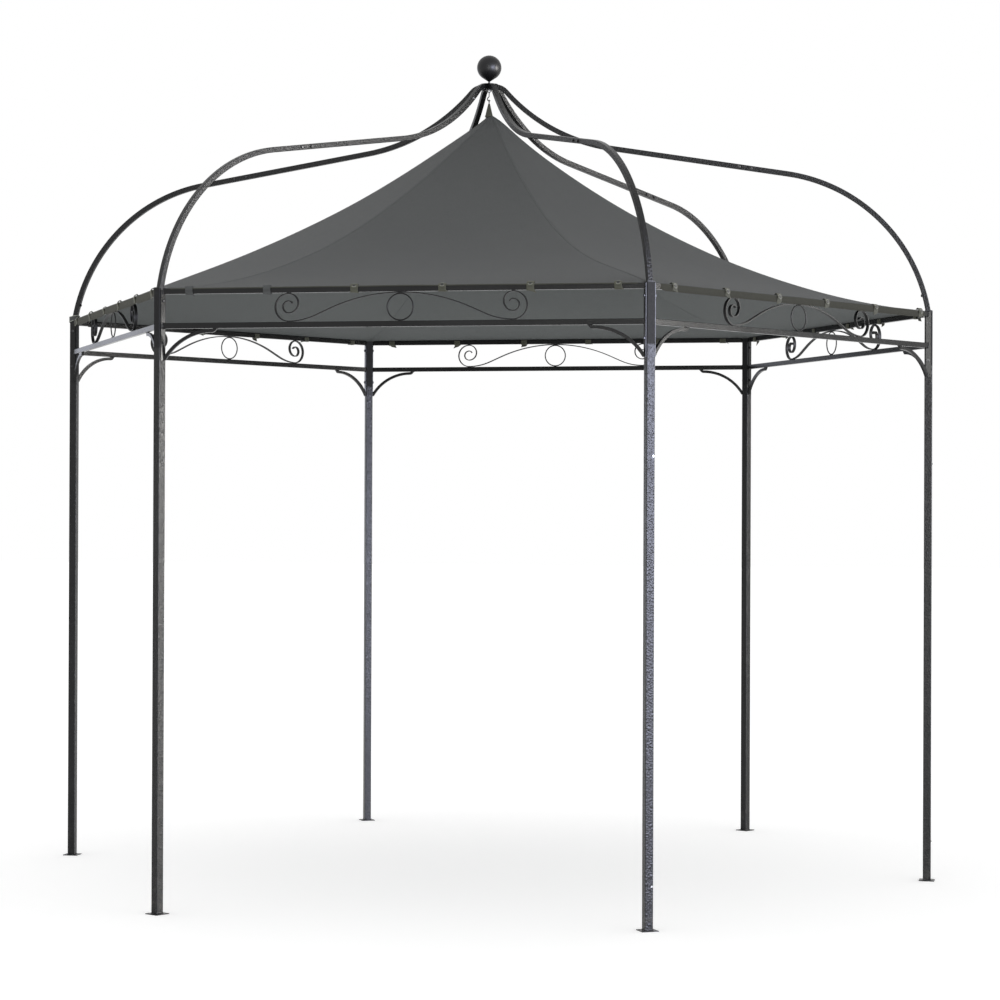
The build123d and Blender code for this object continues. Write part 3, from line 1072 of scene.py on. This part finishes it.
def makeCanopy():
    angles = sheetAngles()
    last = canopy["rings"] - 1
    ringSpots = [(n / last) ** canopy["ringCrowding"] for n in range(canopy["rings"])]
    points, places = [], []
    for s in ringSpots:
        for angle in angles:
            points.append(canopyPoint(angle, s))
            places.append(mapPlace(points[-1], angle, s * canopy["slant"]))
    lip = lipRows()
    for number, (out, height, row) in enumerate(lip, 1):
        for angle in angles:
            points.append(lipPoint(angle, out, height, number, row))
            places.append(mapPlace(points[-1], angle, canopy["slant"] + canopy["lipMap"] * number))
    count = len(angles)
    faces = []
    for row in range(len(ringSpots) + len(lip) - 1):
        for n in range(count):
            after = (n + 1) % count
            a, b = row * count + n, row * count + after
            faces.append((a, a + count, b + count, b))
    piece = meshPiece("canopyCloth", points, faces)
    givenMap(piece, places)
    wall = piece.modifiers.new("cloth", "SOLIDIFY")
    wall.thickness = canopy["cloth"]
    wall.offset = 0
    wall.material_offset = 1
    wall.material_offset_rim = 1
    finishes = [canopyWeave, canopyUndersidePaintedLight, hemWeave, hemWeave]  # outside and inside, of roof and hem; the roof's inside is painted lighter, painted light standing in for light through the cloth and off the floor
    for finish in finishes:
        piece.data.materials.append(finish)
    hemStart = (len(ringSpots) + len(canopy["lip"]) - 1) * count
    for polygon in piece.data.polygons:
        polygon.material_index = 2 if polygon.index >= hemStart else 0
    settle(piece, finishes)
    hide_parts(*["canopy_panel_%d" % number for number in range(1, 7)])
    return piece


clothSheet = makeCanopy()
print("canopy sheet made")

# Binding tape, folded over the last row of the lip and the skirt
binding = {"out": 0.0002, "up": 0.0008, "tape": {"Tape Width": 0.0040, "Tape Thickness": 0.0020}}


def edgeLine():
    rows = lipRows()
    out, height, row = rows[-1]
    out, height = out + binding["out"], height + binding["up"]
    return [lipPoint(angle, out, height, len(rows), row) for angle in sheetAngles()]


hemBinding = linePiece("canopyBinding", [edgeLine()], closed=True)
runTree(hemBinding, tapes, {**binding["tape"], "Material": hemWeave})
settle(hemBinding, hemWeave)

# Flat felled seams down the six hips, with two rows of stitches each
seams = {
    "halfWidth": 0.0065,
    "rise": 0.0009,
    "edgeDrop": 0.0004,
    "thickness": 0.0008,
    "steps": 150,
    "start": 0.012,
    "run": 0.984,
    "mostTurn": 0.3,
}
stitches = {
    "offset": 0.0042,
    "rise": 0.0005,
    "steps": 160,
    "start": 0.02,
    "run": 0.97,
    "bead": {"Pitch": 0.0062, "Bead Radius": 0.0005, "Bead Length": 0.0048, "Unevenness": 0.12, "Seed": 3},
}


def onSeam(corner, s, offset, rise):
    angle = 60 * corner
    hip = canopy["peakRadius"] + s * (canopy["eaveRadius"] - canopy["peakRadius"])
    most = seams["mostTurn"] * hip
    offset = max(-most, min(most, offset))
    return canopyPoint((angle + atan(offset / hip) * 180 / pi) % 360, s) + Vector((0, 0, rise))


def makeSeams():
    points, faces, places = [], [], []
    offsets = [-1.0, -0.5, 0.0, 0.5, 1.0]
    for corner in range(6):
        for step in range(seams["steps"]):
            s = seams["start"] + seams["run"] * step / (seams["steps"] - 1)
            for share in offsets:
                rise = seams["rise"] - seams["edgeDrop"] * abs(share)
                points.append(onSeam(corner, s, share * seams["halfWidth"], rise))
                places.append((share * seams["halfWidth"], s * canopy["slant"]))
        first = corner * seams["steps"] * len(offsets)
        for step in range(seams["steps"] - 1):
            for n in range(len(offsets) - 1):
                a = first + step * len(offsets) + n
                faces.append((a, a + len(offsets), a + len(offsets) + 1, a + 1))
    piece = meshPiece("canopySeams", points, faces)
    givenMap(piece, places)
    wall = piece.modifiers.new("cloth", "SOLIDIFY")
    wall.thickness = seams["thickness"]
    wall.offset = 0
    settle(piece, canopyWeave)


def stitchRows():
    rows = []
    steps = stitches["steps"]
    for corner in range(6):
        for offset in (-stitches["offset"], stitches["offset"]):
            row = []
            for step in range(steps + 1):
                s = stitches["start"] + stitches["run"] * step / steps
                row.append(onSeam(corner, s, offset, seams["rise"] + stitches["rise"]))
            rows.append(row)
    return rows


makeSeams()
seamStitches = linePiece("canopySeamStitches", stitchRows())
runTree(seamStitches, beads, {**stitches["bead"], "Material": seamThread})
settle(seamStitches, seamThread)
print("seams and stitches made")


# Peak cap: stiff gathered cloth with a hem
peak = {
    "profile": [
        (0.0040, 3.0120),
        (0.0160, 3.0122),
        (0.0166, 3.0136),
        (0.0163, 3.0168),
        (0.0148, 3.0200),
        (0.0128, 3.0290),
        (0.0102, 3.0400),
        (0.0074, 3.0510),
        (0.0052, 3.0600),
        (0.0040, 3.0655),
        (0.0030, 3.0676),
        (0.0012, 3.0682),
    ],
    "gathers": 9,
    "depth": 0.055,
    "twist": 40.0,
    "twistFrom": 3.02,
    "foldLow": 3.0165,
    "foldHigh": 3.0655,
    "foldFade": 0.01,
    "turns": 72,
    "between": 3,
    "rowMap": 0.0022,
    "turnMap": 0.014,
}


def makePeak():
    points, places, faces = [], [], []
    turns = peak["turns"]
    rows = []
    for (r0, z0), (r1, z1) in zip(peak["profile"], peak["profile"][1:]):
        for k in range(peak["between"]):
            share = k / peak["between"]
            rows.append((r0 + (r1 - r0) * share, z0 + (z1 - z0) * share))
    rows.append(peak["profile"][-1])
    run = 0.0
    for radius, height in rows:
        run += peak["rowMap"]
        rising = min(1.0, max(0.0, (height - peak["foldLow"]) / peak["foldFade"]))
        ending = min(1.0, max(0.0, (peak["foldHigh"] - height) / peak["foldFade"]))
        fold = peak["depth"] * rising * ending
        for k in range(turns):
            angle = 2 * pi * k / turns
            twisted = peak["gathers"] * angle / 2 + peak["twist"] * (height - peak["twistFrom"])
            wave = 1 - fold * abs(sin(twisted))
            points.append(Vector((radius * wave * cos(angle), radius * wave * sin(angle), height)))
            places.append((peak["turnMap"] * angle, run))
    for row in range(len(rows) - 1):
        for k in range(turns):
            a, b = row * turns + k, row * turns + (k + 1) % turns
            faces.append((a, b, b + turns, a + turns))
    # both ends are closed with a fan round a middle point
    low, high = len(points), len(points) + 1
    points += [Vector((0, 0, rows[0][1])), Vector((0, 0, rows[-1][1]))]
    places += [(0, 0), (0, run)]
    last = (len(rows) - 1) * turns
    for k in range(turns):
        faces.append((low, (k + 1) % turns, k))
        faces.append((high, last + k, last + (k + 1) % turns))
    piece = meshPiece("peakCap", points, faces)
    givenMap(piece, places)
    settle(piece, peakWeave)
    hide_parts("canopy_peak_cap")


makePeak()
print("peak cap made")


# Straps as ribbons: a path of centre, across and width, given a thickness afterwards
def ribbons(name, paths, thickness, finish):
    points, faces, places = [], [], []
    columns = 4
    for path in paths:
        first = len(points)
        run = 0.0
        for n, (centre, across, width) in enumerate(path):
            if n:
                run += (centre - path[n - 1][0]).length
            for k in range(columns + 1):
                share = k / columns - 0.5
                points.append(centre + across * (share * width))
                places.append((share * width, run))
        for n in range(len(path) - 1):
            for k in range(columns):
                a = first + n * (columns + 1) + k
                faces.append((a, a + 1, a + columns + 2, a + columns + 1))
    piece = meshPiece(name, points, faces)
    givenMap(piece, places)
    wall = piece.modifiers.new("strap", "SOLIDIFY")
    wall.thickness = thickness
    wall.offset = 0
    soft = piece.modifiers.new("softEdge", "BEVEL")
    soft.width = thickness * 0.3
    soft.segments = 1
    soft.limit_method = "ANGLE"
    soft.angle_limit = radians(50)
    settle(piece, finish)


def smoothPath(corners, steps):
    # a Catmull-Rom line through section points
    spots = []
    for n in range(len(corners) - 1):
        p0 = corners[max(n - 1, 0)]
        p1, p2 = corners[n], corners[n + 1]
        p3 = corners[min(n + 2, len(corners) - 1)]
        for k in range(steps):
            t = k / steps
            spot = []
            for a, b, c, d in zip(p0, p1, p2, p3):
                square = (2 * a - 5 * b + 4 * c - d) * t**2
                cube = (3 * b - a - 3 * c + d) * t**3
                spot.append(0.5 * (2 * b + (c - a) * t + square + cube))
            spots.append(tuple(spot))
    spots.append(tuple(corners[-1]))
    return spots


# Eave tabs: each loops over the hem and round the rail, with an eyelet and a loose tail.
# Section points are out from the rail's line and up from its top, the tail's also along the rail.
tabs = {
    "width": 0.027,
    "thickness": 0.0012,
    "hump": {"most": 0.0060, "least": 0.35, "middle": 0.004, "reach": 0.006, "above": 0.0005},
    "lean": 0.06,
    "leanAbout": -0.01,
    "overHem": {"further": 0.0018, "outside": 0.005, "below": -0.002},
    "loop": [
        (-0.0030, 0.0028),
        (0.0020, 0.0036),
        (0.0070, 0.0040),
        (0.0104, 0.0020),
        (0.0118, -0.0030),
        (0.0108, -0.0085),
        (0.0090, -0.0130),
        (0.0087, -0.0185),
        (0.0074, -0.0210),
        (0.0030, -0.0216),
        (-0.0040, -0.0216),
        (-0.0080, -0.0206),
        (-0.0090, -0.0170),
        (-0.0088, -0.0090),
        (-0.0086, -0.0020),
    ],
    "tail": [
        (0.0112, -0.0120, 0.0),
        (0.0104, -0.0180, 0.001),
        (0.0108, -0.0240, 0.004),
        (0.0118, -0.0290, 0.009),
        (0.0124, -0.0330, 0.014),
    ],
    "tailTop": -0.012,
    "tailTurn": 0.5,
    "tailTaper": 0.12,
    "steps": 4,
    "seed": 11,
    "grey": {270: [0, 1]},
}
eyelets = {
    "lying": {"out": 0.0098, "up": 0.0006, "tilt": 0.9},
    "standing": {"out": 0.0126, "up": -0.0055, "tilt": 0.25},
    "standingSides": [330],
    "humpShare": 0.35,
    "ring": {
        "Washer Radius": 0.0094,
        "Washer Height": 0.0010,
        "Hex Radius": 0.0058,
        "Hex Height": 0.0004,
        "Thread Radius": 0.0040,
        "Thread Height": 0.0001,
        "Seed": 4,
    },
    # the hole is a flat black disc: painted shade for the dark inside of the eyelet
    "hole": {
        "Washer Radius": 0.0058,
        "Washer Height": 0.0003,
        "Hex Radius": 0.0010,
        "Hex Height": 0.0001,
        "Thread Radius": 0.0005,
    },
    "holeRise": 0.0019,
}


def tabLoop(side, along, hump, lean):
    path = []
    bump, hem = tabs["hump"], tabs["overHem"]
    for out, up in smoothPath(tabs["loop"], tabs["steps"]):
        near = exp(-(((out - bump["middle"]) / bump["reach"]) ** 2))
        rise = hump * near if up > bump["above"] else 0.0
        slant = lean * (up - tabs["leanAbout"])
        if side in skirt["sides"] and out > hem["outside"] and up < hem["below"]:
            out += hem["further"]
        height = frameSizes["railTop"] + up + rise
        centre = atSide(side, frameSizes["railLine"] + out, along + slant, height)
        path.append((centre, direction(side + 90), tabs["width"]))
    return path


def tabTail(side, along, drift, reach):
    tail = []
    spots = smoothPath(tabs["tail"], tabs["steps"])
    for n, (out, up, shift) in enumerate(spots):
        turn = tabs["tailTurn"] * drift * (n / len(spots)) ** 2
        height = frameSizes["railTop"] + (tabs["tailTop"] + (up - tabs["tailTop"]) * reach)
        centre = atSide(side, frameSizes["railLine"] + out, along + shift * drift, height)
        tilted = direction(side + 90) * cos(turn) - Vector((0, 0, sin(turn)))
        tail.append((centre, tilted, tabs["width"] * (1 - tabs["tailTaper"] * n / len(spots))))
    return tail


def makeTabs():
    chance = random.Random(tabs["seed"])
    olivePaths, greyPaths, eyeletPlaces = [], [], []
    for side in sideAngles:
        for number, place in enumerate(tabPlaces[side]):
            along = place - frameSizes["halfSide"]
            hump = tabs["hump"]["most"] * chance.uniform(tabs["hump"]["least"], 1.0)
            lean = chance.uniform(-tabs["lean"], tabs["lean"])
            drift = chance.uniform(0.3, 1.1) * (1 if side == 270 else chance.choice((-1, 1)))
            reach = chance.uniform(0.35, 1.0)
            isGrey = number in tabs["grey"].get(side, [])
            chosen = greyPaths if isGrey else olivePaths
            chosen += [tabLoop(side, along, hump, lean), tabTail(side, along, drift, reach)]
            if isGrey:
                continue
            lie = eyelets["standing" if side in eyelets["standingSides"] else "lying"]
            height = frameSizes["railTop"] + lie["up"] + hump * eyelets["humpShare"]
            spot = atSide(side, frameSizes["railLine"] + lie["out"], along, height)
            aim = direction(side) + Vector((0, 0, lie["tilt"]))
            eyeletPlaces.append((spot, aim.normalized()))
    ribbons("eaveTabs", olivePaths, tabs["thickness"], oliveWebbing)
    ribbons("greyEaveTabs", greyPaths, tabs["thickness"], canopyWeave)
    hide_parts("canopy_tabs")
    return eyeletPlaces


ringPlaces = makeTabs()
holePlaces = [(spot + aim * eyelets["holeRise"], aim) for spot, aim in ringPlaces]
placedFasteners("tabEyelets", ringPlaces, eyelets["ring"], eyeletRing)
# the collar plastic is also used here as painted shade: black discs standing in for the dark inside of each
# eyelet's hole
placedFasteners("tabEyeletHoleShade", holePlaces, eyelets["hole"], collarPlasticAndHoleShade)
print("tabs made")


# Corner tie: a loose band with pale edges holds the cloth's corner at the left-hand post
cornerTie = {
    "post": 180,
    "half": 0.0195,
    "round": 3.2,
    "middle": 2.2220,
    "dip": 0.0090,
    "wave": 0.0012,
    "height": 0.0190,
    "thickness": 0.0010,
    "edge": {"Tape Width": 0.0030, "Tape Thickness": 0.0024},
    "steps": 48,
}


def makeCornerTie():
    spots = []
    power = cornerTie["round"]
    for n in range(cornerTie["steps"] + 1):
        turn = 2 * pi * n / cornerTie["steps"]
        out, along = cos(turn), sin(turn)
        reach = cornerTie["half"] / (abs(out) ** power + abs(along) ** power) ** (1 / power)
        dip = cornerTie["dip"] * max(out, 0.0)
        height = cornerTie["middle"] - dip + cornerTie["wave"] * sin(3 * turn)
        spots.append(atPost(cornerTie["post"], out * reach, along * reach, height))
    band = [(spot, Vector((0, 0, 1)), cornerTie["height"]) for spot in spots]
    ribbons("cornerTie", [band], cornerTie["thickness"], canopyWeave)
    edges = []
    for way in (-1, 1):
        lift = Vector((0, 0, way * cornerTie["height"] / 2))
        edges.append([spot + lift for spot in spots[:-1]])
    trim = linePiece("cornerTieEdges", edges, closed=True)
    runTree(trim, tapes, {**cornerTie["edge"], "Material": paleWebbing})
    settle(trim, paleWebbing)


makeCornerTie()
print("corner tie made")


# Bolts and screws: black ones in the plates and roof joints, small bright ones elsewhere.
# Places at a post are out, along and up, places on the roof's arms are out from the middle and up,
# and the screws in each post's tube look the way that screwFaces gives.
bolts = {
    "plateHeights": [2.168, 2.022],
    "plateScrew": (0, 0.004, 1.966),
    "screwHeights": [1.620, 0.152],
    "screwFaces": {240: 150, 300: 300, 0: 0, 60: 60, 120: 120, 180: 180},
    "screwOffset": 0.0090,
    "archNub": (-0.0253, 0.0, 2.275),
    "roofHeights": [(1.010, 2.7914), (1.060, 2.7832)],
    "crownScrews": {240: (0.104, 3.0765), 300: (0.074, 3.1070)},
    "armHalf": 0.010,
    "head": {"Hex Radius": 0.0055, "Hex Height": 0.0036, "Thread Height": 0.0, "Seed": 5},
    "screw": {
        "Washer Radius": 0.0038,
        "Washer Height": 0.0006,
        "Hex Radius": 0.0034,
        "Hex Height": 0.0020,
        "Thread Height": 0.0,
        "Seed": 6,
    },
    "stemNut": (0, 0, 3.1195),
    "nut": {
        "Washer Radius": 0.0085,
        "Washer Height": 0.0012,
        "Hex Radius": 0.0075,
        "Hex Height": 0.0055,
        "Thread Radius": 0.0042,
        "Thread Height": 0.0,
        "Seed": 7,
    },
}


def boltPlaces():
    half, plate = frameSizes["postHalf"], frameSizes["plateFace"]
    post, out, height = bolts["plateScrew"]
    shiny, dark = [(atPost(post, out, -half, height), direction(post - 90))], []
    for angle in postAngles:
        tangent = direction(angle + 90)
        for height in bolts["plateHeights"]:
            dark.append((atPost(angle, 0, plate, height), tangent))
            dark.append((atPost(angle, 0, -plate, height), -tangent))
        face = direction(bolts["screwFaces"][angle])
        beside = face.cross(Vector((0, 0, 1))) * (1 if cos(radians(angle)) < 0 else -1)
        for height in bolts["screwHeights"]:
            spot = atPost(angle, 0, 0, height) + face * half + beside * bolts["screwOffset"]
            shiny.append((spot, face))
        dark.append((atPost(angle, *bolts["archNub"]), -direction(angle)))
        crown = bolts["crownScrews"].get(angle)
        for radius, height in bolts["roofHeights"] + ([crown] if crown else []):
            for way in (-1, 1):
                middle = direction(angle) * radius + Vector((0, 0, height))
                place = middle + tangent * (way * bolts["armHalf"])
                (shiny if (radius, height) == crown else dark).append((place, tangent * way))
    return shiny, dark


shinyPlaces, darkPlaces = boltPlaces()
placedFasteners("zincScrews", shinyPlaces, bolts["screw"], boltZinc)
placedFasteners("blackBolts", darkPlaces, bolts["head"], blackBolt)
placedFasteners("crownNut", [(Vector(bolts["stemNut"]), Vector((0, 0, -1)))], bolts["nut"], boltZinc)
print("bolts made")


# Weld beads where rails and brackets meet the end plates, posts their feet, and scrolls the rails.
# Places on a plate are out from the post's middle and up, places on a rail along it and up.
welds = {
    "rail": (-0.009, 0.0006),
    "lowerRailHalf": 0.010,
    "bracket": [(-0.0095, 1.9735), (-0.0026, 1.9735), (-0.0026, 1.9595)],
    "bracketTip": (0.201, 0.213),
    "bracketTipHeight": 2.0702,
    "railHalf": 0.005,
    "scrolls": [
        (0.0, 2.1915),
        (0.401, 2.0905),
        (-0.401, 2.0905),
        (0.401, 2.1915),
        (-0.401, 2.1915),
        (0.0, 2.0905),
    ],
    "scrollHalf": 0.0035,
    "footGap": 0.0002,
    "footHeight": 0.0036,
    "bead": {"Pitch": 0.0022, "Bead Radius": 0.0017, "Bead Length": 0.0044, "Unevenness": 0.22, "Seed": 9},
}


def platePoint(side, end, out, height):
    # on the outer face of the end plate at this end of the side
    post = side + 30 * end
    reach = direction(post) * (frameSizes["cornerRadius"] + out)
    return reach - direction(post + 90) * (end * frameSizes["plateFace"]) + Vector((0, 0, height))


def weldLines():
    lines = []
    inner, outer = welds["rail"]
    ends = [frameSizes["railLine"] + way * welds["railHalf"] for way in (-1, 1)]
    for side in sideAngles:
        for end in (-1, 1):
            for top in (frameSizes["railTop"], frameSizes["lowerRail"] + welds["lowerRailHalf"]):
                low = top - frameSizes["railHeight"]
                corners = [(inner, top), (outer, top), (outer, low), (inner, low)]
                lines.append([platePoint(side, end, *corner) for corner in corners])
            lines.append([platePoint(side, end, *corner) for corner in welds["bracket"]])
            for out in ends:
                tip = [end * (frameSizes["halfSide"] - along) for along in welds["bracketTip"]]
                lines.append([atSide(side, out, along, welds["bracketTipHeight"]) for along in tip])
        for along, height in welds["scrolls"]:
            for edge in (-welds["scrollHalf"], welds["scrollHalf"]):
                lines.append([atSide(side, out, along + edge, height) for out in ends])
    half = frameSizes["postHalf"] + welds["footGap"]
    ring = [(half, half), (-half, half), (-half, -half), (half, -half), (half, half)]
    for angle in postAngles:
        lines.append([atPost(angle, out, along, welds["footHeight"]) for out, along in ring])
    return lines


weldBeads = linePiece("weldBeads", weldLines())
runTree(weldBeads, beads, {**welds["bead"], "Material": railPaint})
settle(weldBeads, railPaint)
print("welds made")

bpy.context.view_layer.update()
